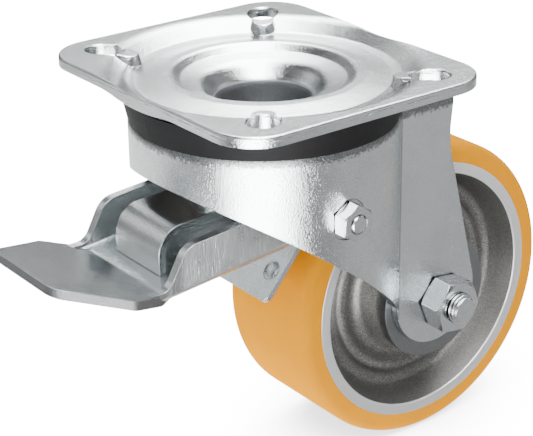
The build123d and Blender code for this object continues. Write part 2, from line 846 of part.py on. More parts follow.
os.makedirs("parts", exist_ok=True)
for name, shape in nodes.items():
    export_step(shape, f"parts/{name}.step")
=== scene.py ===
import math

import bmesh
import bpy
from bpy.props import FloatProperty, FloatVectorProperty, IntProperty, PointerProperty
from mathutils import Matrix, Vector


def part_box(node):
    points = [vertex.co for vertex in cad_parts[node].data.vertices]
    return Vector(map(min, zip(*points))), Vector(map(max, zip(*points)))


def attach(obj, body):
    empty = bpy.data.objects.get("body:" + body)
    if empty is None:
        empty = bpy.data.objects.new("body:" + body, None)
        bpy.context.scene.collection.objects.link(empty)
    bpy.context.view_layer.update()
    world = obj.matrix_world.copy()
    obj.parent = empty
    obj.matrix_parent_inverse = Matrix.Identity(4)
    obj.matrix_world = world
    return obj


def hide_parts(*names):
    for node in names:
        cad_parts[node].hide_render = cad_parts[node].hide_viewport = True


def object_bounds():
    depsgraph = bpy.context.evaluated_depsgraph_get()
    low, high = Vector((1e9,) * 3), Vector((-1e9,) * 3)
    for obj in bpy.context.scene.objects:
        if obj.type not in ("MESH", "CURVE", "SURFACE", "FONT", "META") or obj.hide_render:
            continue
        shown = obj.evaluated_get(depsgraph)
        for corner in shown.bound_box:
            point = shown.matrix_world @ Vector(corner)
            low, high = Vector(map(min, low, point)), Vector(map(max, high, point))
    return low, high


bl_info = {
    "name": "Swivel castor finishes",
    "version": (1, 0, 0),
    "blender": (4, 5, 0),
    "location": "View3D > Sidebar > Castor",
    "description": "Zinc, cast, rubber and tread finishes, rolled threads and a stage for a swivel castor",
    "category": "Object",
}

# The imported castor: metres, origin at the top plate's face on the swivel axis, axle along Y
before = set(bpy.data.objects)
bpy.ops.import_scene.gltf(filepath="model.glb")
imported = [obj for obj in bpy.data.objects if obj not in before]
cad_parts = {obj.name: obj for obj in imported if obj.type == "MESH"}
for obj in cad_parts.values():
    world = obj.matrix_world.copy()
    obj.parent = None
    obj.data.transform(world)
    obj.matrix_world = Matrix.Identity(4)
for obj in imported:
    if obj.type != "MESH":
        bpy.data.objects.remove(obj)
cad_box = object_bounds()
mm = 0.001
sides = ("nut_side", "head_side")
bolt_radii = {"axle_bolt": 5 * mm, "brake_bolt": 3 * mm}

# Places where a finish or a painted shade changes, which the CAD nodes' boxes don't give
plate_shear_line = -1.5 * mm
plate_bore_radius = 14.7 * mm
leg_crease_x = -31.5 * mm
foot_start_x = 49 * mm
web_edge_radius = 34 * mm

# How near another surface has to be for a finish to get painted shade
zinc_gap = 1.6 * mm
cast_gap = 16 * mm


def node_box(name):
    """Lowest corner, highest corner and middle of a CAD node."""
    low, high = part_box(name)
    return low, high, (low + high) / 2


wheel_low, wheel_high, axle = node_box("tread")
floor_height = wheel_low.z


# ---------------------------------------------------------------- sizes and colours


class CastorColours(bpy.types.PropertyGroup):
    """Colours of the castor's finishes."""

    zinc: FloatVectorProperty(
        name="Zinc",
        description="Bright zinc plating",
        subtype="COLOR",
        default=(0.66, 0.69, 0.70),
        min=0,
        max=1,
    )
    zinc_shade: FloatVectorProperty(
        name="Zinc shade",
        description="Burnished zinc",
        subtype="COLOR",
        default=(0.50, 0.53, 0.54),
        min=0,
        max=1,
    )
    # This colour also paints shade: in gaps, on the crown's bend and in the crease down each leg
    sheared: FloatVectorProperty(
        name="Sheared edge",
        description="Dull metal of sheared edges, scored lines and gaps",
        subtype="COLOR",
        default=(0.25, 0.26, 0.27),
        min=0,
        max=1,
    )
    cast: FloatVectorProperty(
        name="Cast metal",
        description="Blasted skin of the wheel centre",
        subtype="COLOR",
        default=(0.33, 0.325, 0.31),
        min=0,
        max=1,
    )
    brushed: FloatVectorProperty(
        name="Brushed zinc",
        description="Bright scratches of the brushing",
        subtype="COLOR",
        default=(0.92, 0.93, 0.93),
        min=0,
        max=1,
    )
    turned: FloatVectorProperty(
        name="Turned metal",
        description="Turned rim and hub ends",
        subtype="COLOR",
        default=(0.96, 0.96, 0.97),
        min=0,
        max=1,
    )
    tread: FloatVectorProperty(
        name="Tread",
        description="Cast elastomer tread",
        subtype="COLOR",
        default=(1.0, 0.385, 0.0),
        min=0,
        max=1,
    )
    seal: FloatVectorProperty(
        name="Seal",
        description="Rubber seal",
        subtype="COLOR",
        default=(0.007, 0.007, 0.0075),
        min=0,
        max=1,
    )
    steel: FloatVectorProperty(
        name="Bearing steel",
        description="Ground steel",
        subtype="COLOR",
        default=(0.45, 0.45, 0.45),
        min=0,
        max=1,
    )


class CastorSizes(bpy.types.PropertyGroup):
    """Sizes of the threads and the surface detail."""

    axle_thread_pitch: FloatProperty(
        name="Axle thread pitch",
        description="Pitch of the axle bolt",
        unit="LENGTH",
        default=1.5 * mm,
        min=0.2 * mm,
    )
    brake_thread_pitch: FloatProperty(
        name="Brake thread pitch",
        description="Pitch of the brake bolt",
        unit="LENGTH",
        default=1.0 * mm,
        min=0.2 * mm,
    )
    zinc_grain: FloatProperty(
        name="Zinc grain",
        description="Size of the plated grain",
        unit="LENGTH",
        default=0.5 * mm,
        min=0.05 * mm,
    )
    cast_grain: FloatProperty(
        name="Cast grain",
        description="Size of the cast skin's grain",
        unit="LENGTH",
        default=0.4 * mm,
        min=0.1 * mm,
    )
    edge_radius: FloatProperty(
        name="Edge radius",
        description="Softness of the sheet's edges",
        unit="LENGTH",
        default=0.3 * mm,
        min=0,
    )


class CastorStage(bpy.types.PropertyGroup):
    """Camera and light."""

    azimuth: FloatProperty(name="Azimuth", description="Camera azimuth in degrees", default=143.14)
    elevation: FloatProperty(name="Elevation", description="Camera elevation in degrees", default=23.65)
    roll: FloatProperty(name="Roll", description="Camera roll in degrees", default=-0.8)
    distance: FloatProperty(
        name="Distance",
        description="Camera to swivel origin along the view",
        unit="LENGTH",
        default=0.49908,
    )
    lens: FloatProperty(
        name="Lens",
        description="Focal length over a 36 mm wide sensor",
        default=113.67,
    )
    picture_width: IntProperty(name="Picture width", description="Width in pixels", default=533)
    picture_height: IntProperty(name="Picture height", description="Height in pixels", default=436)
    origin_u: FloatProperty(
        name="Origin u",
        description="Swivel origin from the picture's left",
        default=263.14,
    )
    origin_v: FloatProperty(
        name="Origin v",
        description="Swivel origin from the picture's top",
        default=61.49,
    )
    light_heading: FloatProperty(
        name="Light heading",
        description="Azimuth in degrees that the studio light is arranged about",
        default=143.0,
    )
    backdrop: FloatProperty(
        name="Backdrop",
        description="Brightness of the pale backdrop",
        default=18.0,
        min=0,
    )
    key: FloatProperty(name="Key", description="Strength of the key light in watts", default=1.5, min=0)
    sky: FloatProperty(name="Sky", description="Strength of the studio's light", default=1.0, min=0)


# ---------------------------------------------------------------- node trees


class Tree:
    """Short hand for building a node tree."""

    def __init__(self, tree):
        self.tree = tree

    def add(self, kind, settings=(), **inputs):
        """Node of a kind, with its settings, and a link or a plain value for each named input."""
        node = self.tree.nodes.new(kind)
        for name, value in dict(settings).items():
            setattr(node, name, value)
        for name, value in inputs.items():
            self.feed(node.inputs[name.replace("_", " ")], value)
        return node

    def feed(self, socket, value):
        if isinstance(value, bpy.types.NodeSocket):
            self.tree.links.new(value, socket)
        else:
            socket.default_value = value

    def math(self, operation, a, b=0.0):
        node = self.add("ShaderNodeMath", {"operation": operation})
        self.feed(node.inputs[0], a)
        self.feed(node.inputs[1], b)
        return node.outputs[0]

    def times(self, first, *others):
        """Product of masks or values."""
        for other in others:
            first = self.math("MULTIPLY", first, other)
        return first

    def swing(self, noise, size):
        """Noise laid evenly about nought, over a span of this size."""
        return self.times(self.math("SUBTRACT", noise, 0.5), size)

    def reach(self, x, y):
        """Length of an offset x, y."""
        return self.math("SQRT", self.math("ADD", self.math("POWER", x, 2.0), self.math("POWER", y, 2.0)))

    def ramp(self, value, low, high, start=0.0, end=1.0):
        """Smooth step from start to end as value goes from low to high."""
        node = self.add("ShaderNodeMapRange", {"interpolation_type": "SMOOTHSTEP"}, Value=value)
        for name, stop in (("From Min", low), ("From Max", high), ("To Min", start), ("To Max", end)):
            self.feed(node.inputs[name], stop)
        return node.outputs["Result"]

    def mix(self, factor, a, b):
        """Colour between a and b."""
        node = self.add("ShaderNodeMix", {"data_type": "RGBA"}, Factor=factor)
        for socket, value in zip([s for s in node.inputs if s.type == "RGBA"], (a, b)):
            self.feed(socket, value if isinstance(value, bpy.types.NodeSocket) else (*value, 1))
        return next(s for s in node.outputs if s.type == "RGBA")

    def blend(self, factor, a, b):
        """Plain value between a and b."""
        node = self.add("ShaderNodeMix", {"data_type": "FLOAT"})
        for name, value in (("Factor", factor), ("A", a), ("B", b)):
            self.feed(next(s for s in node.inputs if s.name == name and s.type == "VALUE"), value)
        return next(s for s in node.outputs if s.type == "VALUE")

    def profile(self, value, stops):
        """Value along a line of stops, each a position from 0 to 1 and a height."""
        node = self.add("ShaderNodeValToRGB", Fac=value)
        top = max(height for _, height in stops)
        marks = node.color_ramp.elements
        while len(marks) < len(stops):
            marks.new(1.0)
        for mark, (position, _) in zip(marks, stops):
            mark.position = position
        for mark, (_, height) in zip(marks, stops):
            mark.color = (height / top, height / top, height / top, 1)
        return self.times(node.outputs["Color"], top)

    def profile_across(self, cosine, stops):
        """Profile along a cosine that goes from -1 at the first stop to 1 at the last."""
        return self.profile(self.math("ADD", self.times(cosine, 0.5), 0.5), stops)

    def profile_around(self, forward, right, stops):
        """Profile by bearing in degrees, nought towards the viewer and growing to the right."""
        bearing = self.math("DIVIDE", self.math("ARCTAN2", right, forward), math.tau)
        stops = [(degrees / 360 + 0.5, height) for degrees, height in stops]
        return self.profile(self.math("ADD", bearing, 0.5), stops)

    def split(self, vector):
        parts = self.add("ShaderNodeSeparateXYZ", Vector=vector).outputs
        return parts["X"], parts["Y"], parts["Z"]

    def along(self, vector, axis):
        """Length of a vector along an axis."""
        node = self.add("ShaderNodeVectorMath", {"operation": "DOT_PRODUCT"})
        self.feed(node.inputs[0], vector)
        self.feed(node.inputs[1], axis)
        return node.outputs["Value"]

    def noise(self, vector, scale, detail=2.0, roughness=0.5, distortion=0.0):
        """Noise about a half, with a scale in grains a metre."""
        node = self.add("ShaderNodeTexNoise", Vector=vector, Scale=scale, Detail=detail)
        self.feed(node.inputs["Roughness"], roughness)
        self.feed(node.inputs["Distortion"], distortion)
        return node.outputs["Fac"]

    def stretch(self, vector, scale=(1, 1, 1), location=(0, 0, 0)):
        """Vector scaled, then moved."""
        return self.add("ShaderNodeMapping", Vector=vector, Scale=scale, Location=location).outputs["Vector"]


def shader_group(name, inputs, build):
    """Shader node group, built once: inputs by name with their defaults, outputs by name from build."""
    if name in bpy.data.node_groups:
        return bpy.data.node_groups[name]
    group = bpy.data.node_groups.new(name, "ShaderNodeTree")
    for label, default in inputs.items():
        kind = "NodeSocketVector" if label == "Vector" else "NodeSocketFloat"
        socket = group.interface.new_socket(label, in_out="INPUT", socket_type=kind)
        if default is not None:
            socket.default_value = default
    given = group.nodes.new("NodeGroupInput").outputs
    results = build(Tree(group), given)
    for label in results:
        group.interface.new_socket(label, in_out="OUTPUT", socket_type="NodeSocketFloat")
    end = group.nodes.new("NodeGroupOutput")
    for label, value in results.items():
        group.links.new(value, end.inputs[label])
    return group


def use_group(tree, group, **inputs):
    """Outputs of a node group placed in a tree."""
    return tree.add("ShaderNodeGroup", {"node_tree": group}, **inputs).outputs


def plated_grain(tree, given):
    """Fine grain, ripples and slow waves of a plated, drawn sheet."""
    grain_scale = tree.math("DIVIDE", 1.0, given["Grain"])
    fine = tree.noise(given["Vector"], grain_scale, 2.0, 0.65)
    ripple = tree.noise(given["Vector"], tree.times(grain_scale, 0.16), 2.0, 0.5, 0.4)
    wave = tree.noise(given["Vector"], given["Wave"], 2.0, 0.5, 0.3)
    patch = tree.noise(given["Vector"], given["Patch"], 4.0, 0.6)
    height = tree.swing(fine, given["Grain Height"])
    for part, share in ((ripple, given["Ripple Height"]), (wave, given["Wave Height"])):
        height = tree.math("ADD", height, tree.swing(part, share))
    speck = tree.ramp(fine, 0.55, 0.7)
    return {"Height": height, "Fine": fine, "Speck": speck, "Patch": tree.ramp(patch, 0.35, 0.65)}


def cast_skin(tree, given):
    """Grainy skin of a blasted casting."""
    scale = tree.math("DIVIDE", 1.0, given["Grain"])
    fine = tree.noise(given["Vector"], scale, 4.0, 0.7)
    coarse = tree.noise(given["Vector"], tree.times(scale, 0.28), 3.0, 0.6)
    height = tree.math("ADD", tree.times(fine, 0.5), coarse)
    return {"Height": height, "Speck": tree.ramp(fine, 0.38, 0.66)}


def painted_gap_shade(tree, given):
    """Mask for painted shade: one in the open, falling to nought in gaps and against other pieces."""
    shade = tree.add("ShaderNodeAmbientOcclusion", {"samples": 8}, Distance=given["Reach"]).outputs["AO"]
    return {"Open": tree.ramp(shade, 0.25, 0.8)}


def wall_mask(tree, _):
    """One on walls, nought on level faces."""
    normal = tree.add("ShaderNodeNewGeometry").outputs["Normal"]
    return {"Upright": tree.ramp(tree.math("ABSOLUTE", tree.split(normal)[2]), 0.6, 0.3)}


def grain_of(tree, **inputs):
    """Outputs of the plated grain, placed in a tree."""
    defaults = {
        "Vector": None,
        "Grain": None,
        "Grain Height": None,
        "Ripple Height": 0.5,
        "Wave": 90.0,
        "Wave Height": None,
        "Patch": 60.0,
    }
    return use_group(tree, shader_group("Plated grain", defaults, plated_grain), **inputs)


def skin_of(tree, place, grain):
    """Outputs of the cast skin, placed in a tree."""
    group = shader_group("Cast skin", {"Vector": None, "Grain": None}, cast_skin)
    return use_group(tree, group, Vector=place, Grain=grain)


def open_air(tree, reach):
    """Mask of what has no other surface within reach; where it falls, a finish gets painted shade."""
    return use_group(tree, shader_group("Crevice", {"Reach": None}, painted_gap_shade), Reach=reach)["Open"]


def upright(tree):
    """Mask of the faces that stand upright."""
    return use_group(tree, shader_group("Wall mask", {}, wall_mask))["Upright"]


def empty_material(name):
    """Material and its empty tree."""
    material = bpy.data.materials.new(name)
    material.use_nodes = True
    material.node_tree.nodes.clear()
    return material, Tree(material.node_tree)


def new_material(name, metallic):
    """Material with a Principled shader, its tree and object coordinates."""
    material, tree = empty_material(name)
    shader = tree.add("ShaderNodeBsdfPrincipled", Metallic=metallic)
    tree.add("ShaderNodeOutputMaterial", Surface=shader.outputs["BSDF"])
    place = tree.add("ShaderNodeTexCoord").outputs["Object"]
    return material, tree, shader, place


def dress(tree, shader, tint, rough, height, depth, edge_radius=0.0):
    """Gives a shader its colour, roughness and bump, over edges softened by a radius."""
    bump = tree.add("ShaderNodeBump", Distance=depth, Height=height)
    if edge_radius:
        bevel = tree.add("ShaderNodeBevel", {"samples": 4}, Radius=edge_radius)
        tree.feed(bump.inputs["Normal"], bevel.outputs["Normal"])
    for name, value in (("Base Color", tint), ("Roughness", rough), ("Normal", bump.outputs["Normal"])):
        tree.feed(shader.inputs[name], value)


def dimmed(colour, share):
    """Colour times a share."""
    return tuple(share * part for part in colour)


def coat(name, material):
    """Gives a CAD node its material in every slot."""
    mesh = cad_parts[name].data
    if not mesh.materials:
        mesh.materials.append(material)
    for k in range(len(mesh.materials)):
        mesh.materials[k] = material


# ---------------------------------------------------------------- finishes


def zinc_finish(name, colours, sizes, roughness=0.13, grain=1.1, ripple=0.5, wave=0.9, shade=1.0, marks=None):
    """Bright zinc on a pressing or a fastener, with the marks that one piece alone shows and painted shade in
    gaps. A shade below one paints the whole piece darker, as in shadow.
    """
    material, tree, shader, place = new_material(name, 1.0)
    plated = grain_of(
        tree,
        Vector=place,
        Grain=sizes.zinc_grain,
        Grain_Height=grain,
        Ripple_Height=ripple,
        Wave_Height=wave,
    )
    bright, dull = dimmed(colours.zinc, shade), dimmed(colours.zinc_shade, shade)
    tint = tree.mix(tree.times(plated["Patch"], 0.35), bright, dull)
    rough = tree.ramp(plated["Fine"], 0.3, 0.7, roughness - 0.03, roughness + 0.06)
    height = plated["Height"]
    if marks:
        tint, rough, height = marks(tree, place, tint, rough, height)
    tint = tree.mix(tree.times(plated["Speck"], 0.3), tint, colours.sheared)
    # Painted shade: darker where another surface is near, in gaps and against other pieces
    tint = tree.mix(open_air(tree, zinc_gap), dimmed(colours.sheared, 0.3), tint)
    dress(tree, shader, tint, rough, height, 0.1 * mm, sizes.edge_radius)
    return material


def sheared_edge(colours):
    """Broken dark line round the plate's sheared side, and a dull sheared wall in its bore."""
    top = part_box("top_plate")[1].z

    def marks(tree, place, tint, rough, height):
        x, y, level = tree.split(place)
        walls = upright(tree)
        drift = tree.swing(tree.noise(place, 110.0), 1.2 * mm)
        above = tree.math("ADD", tree.math("SUBTRACT", level, plate_shear_line), drift)
        line = tree.times(tree.ramp(above, 0.0, 0.1 * mm), tree.ramp(above, 0.38 * mm, 0.2 * mm))
        broken = tree.ramp(tree.noise(place, 260.0, 3.0, 0.6), 0.45, 0.56)
        mask = tree.times(line, broken, walls, tree.ramp(level, top, top - 0.2 * mm))
        tint = tree.mix(mask, tint, colours.sheared)
        rough = tree.blend(mask, rough, 0.5)
        bore = tree.times(tree.ramp(tree.reach(x, y), plate_bore_radius + 0.9 * mm, plate_bore_radius), walls)
        tint = tree.mix(bore, tint, dimmed(colours.sheared, 0.5))
        return tint, tree.blend(bore, rough, 0.55), tree.math("SUBTRACT", height, mask)

    return marks


def crown_shade(colours):
    """Ragged painted shadow of the plate where the fork's crown bends over, and a painted dark line of shade
    over a shallow groove down the crease of each leg.
    """
    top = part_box("fork")[1].z

    def marks(tree, place, tint, rough, height):
        x, y, level = tree.split(place)
        # Painted shadow of the plate, ragged, on the bend at the top of the crown
        ragged = tree.swing(tree.noise(place, 900.0, 3.0, 0.7), 5.0 * mm)
        crown_shadow = tree.ramp(tree.math("ADD", level, ragged), top - 5.6 * mm, top - 4.2 * mm, 0.0, 0.85)
        tint = tree.mix(crown_shadow, tint, dimmed(colours.sheared, 0.5))
        # Painted shade: the dark line lies in the crease where the punch drew the drum into the leg
        off = tree.math("ABSOLUTE", tree.math("SUBTRACT", x, leg_crease_x))
        crease_shade = tree.ramp(off, 0.5 * mm, 0.1 * mm, 0.0, 0.8)
        tint = tree.mix(tree.times(crease_shade, 0.6), tint, colours.sheared)
        height = tree.math("SUBTRACT", height, tree.times(crease_shade, 1.5))
        return tint, tree.blend(crown_shadow, rough, 0.3), height

    return marks


def brushed_walls(colours):
    """Upright brushing on the outer faces of the pedal's wings, and a dull sheared edge round its foot."""
    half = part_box("brake_shoe")[1].y

    def marks(tree, place, tint, rough, height):
        x, y, z = tree.split(place)
        walls = upright(tree)
        outer = tree.ramp(tree.math("ABSOLUTE", y), half - 0.5 * mm, half - 0.2 * mm)
        behind = tree.ramp(x, foot_start_x, foot_start_x - 4 * mm)
        fade = tree.ramp(tree.noise(place, 130.0), 0.25, 0.75, 0.6, 1.0)
        zone = tree.times(outer, behind, walls, fade)
        lines = tree.noise(tree.stretch(place, (1.0, 1.0, 0.07)), 2200.0, 2.0, 0.6)
        tint = tree.mix(tree.times(tree.ramp(lines, 0.5, 0.62), zone, 0.6), tint, colours.brushed)
        scratch = tree.swing(lines, tree.times(zone, 1.6))
        edge = tree.times(tree.ramp(x, foot_start_x, foot_start_x + 4 * mm), walls)
        grit = tree.times(tree.noise(place, 1500.0, 2.0, 0.6), edge)
        tint = tree.mix(edge, tint, dimmed(colours.sheared, 0.45))
        rough = tree.blend(edge, tree.blend(zone, rough, 0.34), 0.55)
        return tint, rough, tree.math("ADD", tree.math("ADD", height, scratch), grit)

    return marks


def cast_finish(colours, sizes):
    """Cast wheel centre: blasted grey skin, painted shade inside the rim and in gaps, and a turned rim and
    hub end.
    """
    material, tree, shader, place = new_material("Cast wheel", 1.0)
    x, y, z = tree.split(tree.stretch(place, location=-axle))
    radius = tree.reach(x, z)
    face = wheel_high.y - axle.y
    turned = tree.ramp(tree.math("ABSOLUTE", y), face - 0.45 * mm, face - 0.15 * mm)
    skin = skin_of(tree, place, sizes.cast_grain)
    tint = tree.mix(skin["Speck"], dimmed(colours.cast, 0.5), dimmed(colours.cast, 1.15))
    # Painted shade: darker where the leg, the guards or the rim stand near
    tint = tree.mix(open_air(tree, cast_gap), dimmed(colours.cast, 0.55), tint)
    # Painted shade in the recess between the web's edge and the rim
    barrel_painted_shade = tree.ramp(radius, web_edge_radius, web_edge_radius + 4 * mm, 0.0, 0.8)
    tint = tree.mix(barrel_painted_shade, tint, dimmed(colours.cast, 0.35))
    tint = tree.mix(turned, tint, colours.turned)
    rough = tree.blend(turned, tree.ramp(skin["Speck"], 0.0, 1.0, 0.64, 0.5), 0.42)
    # The lathe's grooves run round the axle, so they depend on the radius alone
    lathe = tree.noise(tree.add("ShaderNodeCombineXYZ", X=radius).outputs[0], 1600.0, 2.0, 0.6)
    skin_height = tree.times(skin["Height"], tree.math("SUBTRACT", 1.0, turned))
    height = tree.math("ADD", skin_height, tree.times(lathe, turned, 0.08))
    dress(tree, shader, tint, rough, height, 0.1 * mm, sizes.edge_radius)
    return material


def tread_finish(colours):
    """Smooth cast elastomer, a little clouded."""
    material, tree, shader, place = new_material("Tread", 0.0)
    cloud = tree.ramp(tree.noise(place, 45.0, 3.0, 0.5), 0.3, 0.7)
    tint = tree.mix(cloud, colours.tread, dimmed(colours.tread, 0.93))
    fine = tree.noise(place, 1500.0, 2.0, 0.5)
    rough = tree.ramp(fine, 0.2, 0.8, 0.3, 0.38)
    tree.feed(shader.inputs["Specular IOR Level"], 0.0)
    dress(tree, shader, tint, rough, fine, 0.01 * mm)
    return material


def rubber_finish(colours):
    """Matt moulded rubber."""
    material, tree, shader, place = new_material("Seal rubber", 0.0)
    fine = tree.noise(place, 1800.0, 3.0, 0.6)
    tint = tree.mix(tree.ramp(fine, 0.35, 0.65), colours.seal, dimmed(colours.seal, 1.3))
    rough = tree.ramp(fine, 0.3, 0.7, 0.55, 0.68)
    tree.feed(shader.inputs["Specular IOR Level"], 0.12)
    dress(tree, shader, tint, rough, fine, 0.03 * mm)
    return material


def steel_finish(colours, sizes):
    """Ground steel of the bearings and sleeves."""
    material, tree, shader, place = new_material("Bearing steel", 1.0)
    ground = grain_of(tree, Vector=place, Grain=sizes.zinc_grain, Grain_Height=0.1, Wave_Height=0.3)
    tint = tree.mix(ground["Patch"], colours.steel, dimmed(colours.steel, 0.85))
    dress(tree, shader, tint, 0.22, ground["Height"], 0.03 * mm)
    return material


# ---------------------------------------------------------------- threads

rod_sides = 72
rings_per_turn = 14
# Depth of a rolled thread, in pitches
thread_depth = 0.61
# How far the plain shank runs on inside the thread
shank_overlap = 0.1 * mm
weld_distance = 0.001 * mm
cut_tolerance = 0.0001 * mm


def thread_tree():
    """Geometry nodes for a threaded rod end with a chamfered tip, along +Y from its place."""
    name = "Rolled thread"
    if name in bpy.data.node_groups:
        return bpy.data.node_groups[name]
    group = bpy.data.node_groups.new(name, "GeometryNodeTree")
    group.is_modifier = True
    kinds = dict.fromkeys(("Radius", "Depth", "Pitch", "Length"), "NodeSocketFloat")
    kinds |= {"Place": "NodeSocketVector", "Finish": "NodeSocketMaterial"}
    for label, kind in kinds.items():
        group.interface.new_socket(label, in_out="INPUT", socket_type=kind)
    group.interface.new_socket("Geometry", in_out="OUTPUT", socket_type="NodeSocketGeometry")
    tree = Tree(group)
    given = group.nodes.new("NodeGroupInput").outputs
    # An upright rod, with enough rings to carry the flanks
    rings = tree.math("DIVIDE", given["Length"], tree.math("DIVIDE", given["Pitch"], rings_per_turn))
    rod = tree.add("GeometryNodeMeshCylinder", {"fill_type": "NGON"}, Vertices=rod_sides, Side_Segments=rings)
    tree.feed(rod.inputs["Radius"], given["Radius"])
    tree.feed(rod.inputs["Depth"], given["Length"])
    x, y, z = tree.split(tree.add("GeometryNodeInputPosition").outputs[0])
    height = tree.math("ADD", z, tree.times(given["Length"], 0.5))
    # The groove winds round once a pitch, and its flanks rise from its floor to the crest
    turn = tree.math("DIVIDE", tree.math("ARCTAN2", y, x), math.tau)
    phase = tree.math("FRACT", tree.math("SUBTRACT", tree.math("DIVIDE", height, given["Pitch"]), turn))
    slope = tree.math("ABSOLUTE", tree.math("SUBTRACT", tree.times(phase, 2.0), 1.0))
    groove = tree.ramp(slope, 0.15, 0.85)
    flank = tree.math("SUBTRACT", given["Radius"], tree.times(groove, given["Depth"]))
    # The chamfer is a cone that ends just inside the groove's floor
    core = tree.math("SUBTRACT", given["Radius"], tree.times(given["Depth"], 1.1))
    tip = tree.math("ADD", core, tree.math("SUBTRACT", given["Length"], height))
    share = tree.math("DIVIDE", tree.math("MINIMUM", flank, tip), given["Radius"])
    spot = tree.add("ShaderNodeCombineXYZ", X=tree.times(x, share), Y=tree.times(y, share), Z=height)
    cut = tree.add("GeometryNodeSetPosition", Geometry=rod.outputs["Mesh"], Position=spot.outputs[0])
    laid = tree.add("GeometryNodeTransform", Geometry=cut.outputs[0], Translation=given["Place"])
    tree.feed(laid.inputs["Rotation"], (-math.pi / 2, 0, 0))
    real = tree.add("GeometryNodeRealizeInstances", Geometry=laid.outputs[0])
    done = tree.add("GeometryNodeSetMaterial", Geometry=real.outputs[0], Material=given["Finish"])
    group.links.new(done.outputs[0], group.nodes.new("NodeGroupOutput").inputs["Geometry"])
    return group


def grown(name, group, **inputs):
    """Plain mesh that a geometry node tree makes from its named inputs."""
    carrier = bpy.data.objects.new(name, bpy.data.meshes.new(name))
    bpy.context.collection.objects.link(carrier)
    modifier = carrier.modifiers.new(group.name, "NODES")
    modifier.node_group = group
    for item in group.interface.items_tree:
        if item.in_out == "INPUT":
            modifier[item.identifier] = inputs[item.name]
    evaluated = carrier.evaluated_get(bpy.context.evaluated_depsgraph_get())
    mesh = bpy.data.meshes.new_from_object(evaluated)
    carrier.modifiers.remove(modifier)
    bpy.data.objects.remove(carrier)
    return mesh


def threaded_bolt(node, nut, pitch, finish):
    """Bolt whose end carries a thread, which starts one pitch inside its nut's outer face."""
    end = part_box(node)[1].y
    _, nut_high, nut_middle = node_box(nut)
    start = Vector((nut_middle.x, nut_high.y - pitch, nut_middle.z))
    thread = grown(
        f"{node}_thread",
        thread_tree(),
        Radius=bolt_radii[node],
        Depth=thread_depth * pitch,
        Pitch=pitch,
        Length=end - start.y,
        Place=start,
        Finish=finish,
    )
    work = bmesh.new()
    work.from_mesh(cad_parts[node].data)
    bmesh.ops.remove_doubles(work, verts=work.verts, dist=weld_distance)
    bmesh.ops.bisect_plane(
        work,
        geom=work.verts[:] + work.edges[:] + work.faces[:],
        dist=cut_tolerance,
        plane_co=start + Vector((0, shank_overlap, 0)),
        plane_no=(0, 1, 0),
        clear_outer=True,
    )
    bmesh.ops.holes_fill(work, edges=[edge for edge in work.edges if edge.is_boundary])
    work.from_mesh(thread)
    mesh = bpy.data.meshes.new(f"{node}_threaded")
    work.to_mesh(mesh)
    work.free()
    mesh.materials.append(finish)
    piece = bpy.data.objects.new(f"{node}_threaded", mesh)
    bpy.context.collection.objects.link(piece)
    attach(piece, "fork")
    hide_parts(node)


# ---------------------------------------------------------------- operators


class CASTOR_OT_pressings(bpy.types.Operator):
    """Zinc plating on the plate, the fork, the pedal, the strap, the shoe and the thread guards"""

    bl_idname = "castor.pressings"
    bl_label = "Finish the pressings"

    def execute(self, context):
        colours, sizes = context.scene.castor_colours, context.scene.castor_sizes
        coat("top_plate", zinc_finish("Plate zinc", colours, sizes, marks=sheared_edge(colours)))
        crown = crown_shade(colours)
        coat("fork", zinc_finish("Fork zinc", colours, sizes, grain=1.3, ripple=0.35, wave=1.2, marks=crown))
        walls = brushed_walls(colours)
        coat("pedal", zinc_finish("Pedal zinc", colours, sizes, roughness=0.15, marks=walls))
        plain = zinc_finish("Small pressing zinc", colours, sizes, roughness=0.17)
        for name in ("release_strap", "brake_shoe"):
            coat(name, plain)
        # Painted shade: the guards sit in the shadow of the legs, so they get a darker copy of the zinc
        guard = zinc_finish("Guard zinc", colours, sizes, roughness=0.3, shade=0.35)
        for side in sides:
            coat(f"thread_guard_{side}", guard)
        return {"FINISHED"}


class CASTOR_OT_hardware(bpy.types.Operator):
    """Zinc plating on the bolts and nuts, and threads on the bolts"""

    bl_idname = "castor.hardware"
    bl_label = "Finish the bolts and nuts"

    def execute(self, context):
        colours, sizes = context.scene.castor_colours, context.scene.castor_sizes
        zinc = zinc_finish("Hardware zinc", colours, sizes, roughness=0.18, grain=0.14, ripple=0.1, wave=0.3)
        for name in ("axle_nut", "brake_nut"):
            coat(name, zinc)
        threaded_bolt("axle_bolt", "axle_nut", sizes.axle_thread_pitch, zinc)
        threaded_bolt("brake_bolt", "brake_nut", sizes.brake_thread_pitch, zinc)
        return {"FINISHED"}


class CASTOR_OT_bearings(bpy.types.Operator):
    """Ground steel on the balls, races, rings, sleeves and spacers, and rubber on the seals"""

    bl_idname = "castor.bearings"
    bl_label = "Finish the bearings"

    def execute(self, context):
        colours, sizes = context.scene.castor_colours, context.scene.castor_sizes
        steel = steel_finish(colours, sizes)
        rubber = rubber_finish(colours)
        for name in ("lower_race", "upper_balls", "lower_balls", "axle_sleeve", "pivot_sleeve"):
            coat(name, steel)
        for side in sides:
            for name in ("bearing_outer", "bearing_inner", "bearing_balls", "brake_spacer"):
                coat(f"{name}_{side}", steel)
            coat(f"bearing_seal_{side}", rubber)
        coat("seal_ring", rubber)
        return {"FINISHED"}


class CASTOR_OT_wheel(bpy.types.Operator):
    """Cast wheel centre and its tread"""

    bl_idname = "castor.wheel"
    bl_label = "Finish the wheel"

    def execute(self, context):
        colours, sizes = context.scene.castor_colours, context.scene.castor_sizes
        coat("wheel_core", cast_finish(colours, sizes))
        coat("tread", tread_finish(colours))
        return {"FINISHED"}


# ---------------------------------------------------------------- stage

sensor_width = 36.0
key_place = Vector((0.1, 0.5, 0.9))
key_size = 0.5
floor_half = 3.0
contact_shadow = 50 * mm

